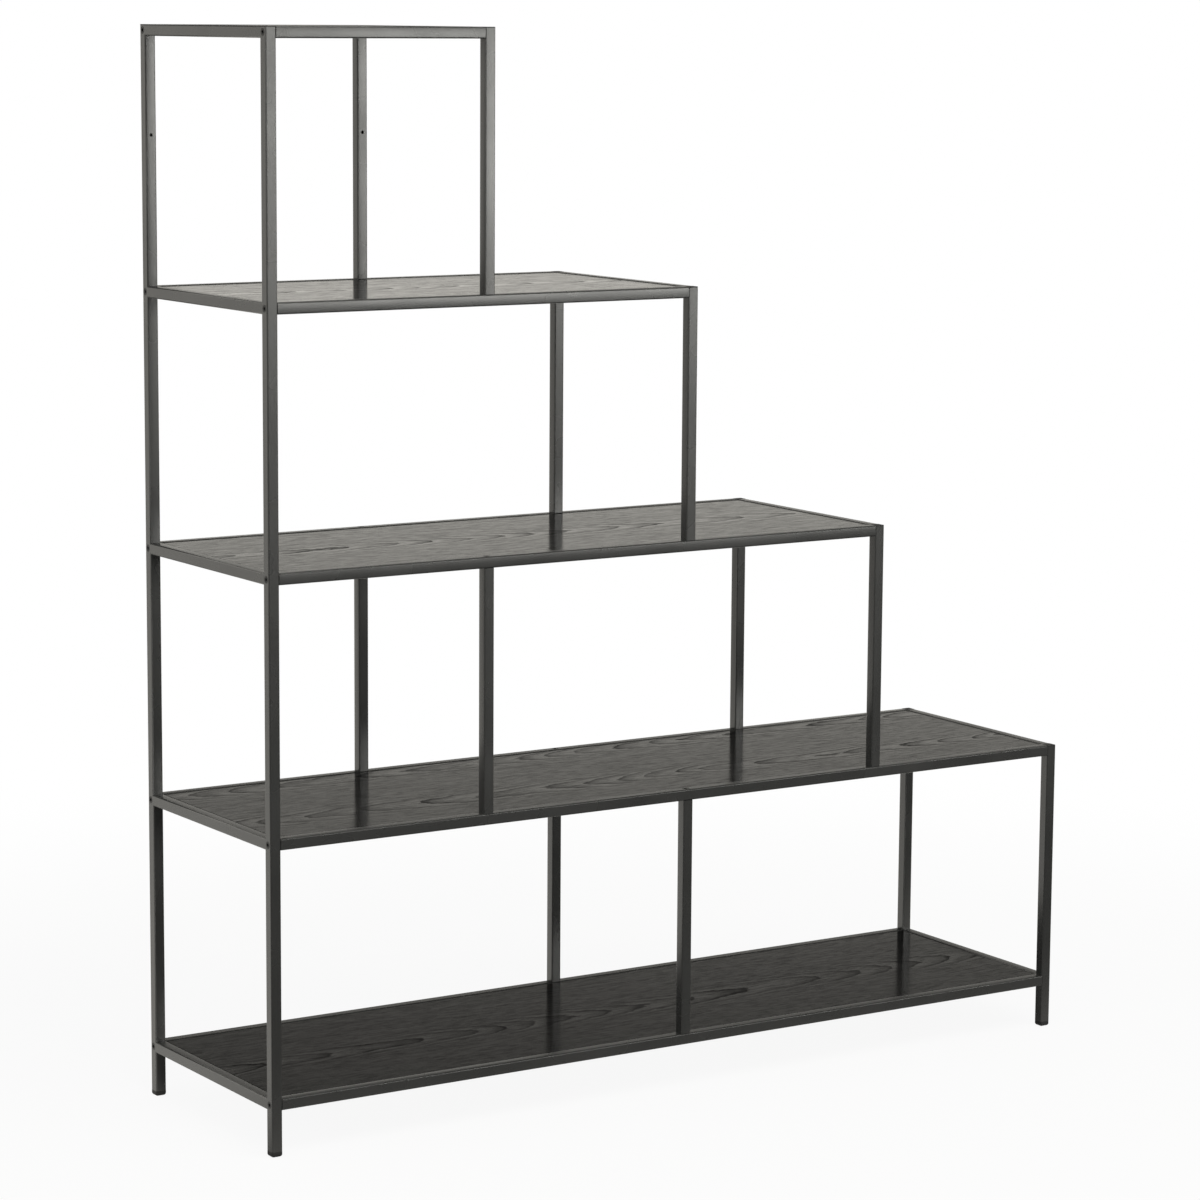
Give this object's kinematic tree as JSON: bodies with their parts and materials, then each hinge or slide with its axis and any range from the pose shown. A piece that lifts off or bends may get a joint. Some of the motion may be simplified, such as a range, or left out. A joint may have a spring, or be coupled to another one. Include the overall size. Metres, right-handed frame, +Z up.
{
  "type": "staircase bookshelf",
  "caption": "Stepped open bookshelf: stained wood shelves inset in a black square-tube steel frame that descends like a staircase to the right.",
  "frame": {"origin": "on the floor under the middle of the outline", "axes": "+Z up, -Y out of the open front, +X from the tall end to the low end"},
  "size_m": [1.275, 0.35, 1.436],
  "materials": {
    "powder_coat": "fine textured black powder coat, semi-matte",
    "black_ash": "black-stained ash with open cathedral grain, satin",
    "black_plastic": "matt moulded",
    "black_bolt": "black oxide, satin"
  },
  "bodies": {
    "root": {"left_end_frame": "powder_coat", "left_end_cap_front": "black_plastic", "left_end_foot_front": "black_plastic", "left_end_bolt_front_0": "black_bolt", "left_end_bolt_front_1": "black_bolt", "left_end_bolt_front_2": "black_bolt", "left_end_bolt_front_3": "black_bolt", "left_end_bolt_front_4": "black_bolt", "left_end_cap_rear": "black_plastic", "left_end_foot_rear": "black_plastic", "left_end_bolt_rear_0": "black_bolt", "left_end_bolt_rear_1": "black_bolt", "left_end_bolt_rear_2": "black_bolt", "left_end_bolt_rear_3": "black_bolt", "left_end_bolt_rear_4": "black_bolt", "right_end_frame": "powder_coat", "right_end_cap_front": "black_plastic", "right_end_foot_front": "black_plastic", "right_end_bolt_front_0": "black_bolt", "right_end_bolt_front_1": "black_bolt", "right_end_cap_rear": "black_plastic", "right_end_foot_rear": "black_plastic", "right_end_bolt_rear_0": "black_bolt", "right_end_bolt_rear_1": "black_bolt", "middle_step_frame": "powder_coat", "middle_step_cap_front": "black_plastic", "middle_step_bolt_front_2": "black_bolt", "middle_step_cap_rear": "black_plastic", "middle_step_bolt_rear_2": "black_bolt", "upper_step_frame": "powder_coat", "upper_step_cap_front": "black_plastic", "upper_step_bolt_front_3": "black_bolt", "upper_step_cap_rear": "black_plastic", "upper_step_bolt_rear_3": "black_bolt", "top_step_frame": "powder_coat", "top_step_cap_front": "black_plastic", "top_step_bolt_front_4": "black_bolt", "top_step_cap_rear": "black_plastic", "top_step_bolt_rear_4": "black_bolt", "rail_front_0": "powder_coat", "rail_rear_0": "powder_coat", "shelf_0": "black_ash", "rail_front_1": "powder_coat", "rail_rear_1": "powder_coat", "shelf_1": "black_ash", "rail_front_2": "powder_coat", "rail_rear_2": "powder_coat", "shelf_2": "black_ash", "rail_front_3": "powder_coat", "rail_rear_3": "powder_coat", "shelf_3": "black_ash", "rail_front_4": "powder_coat", "rail_rear_4": "powder_coat", "shelf_4": "black_ash", "divider_front_0": "powder_coat", "divider_rear_0": "powder_coat", "divider_front_1": "powder_coat", "divider_rear_1": "powder_coat"}
  },
  "joints": []
}
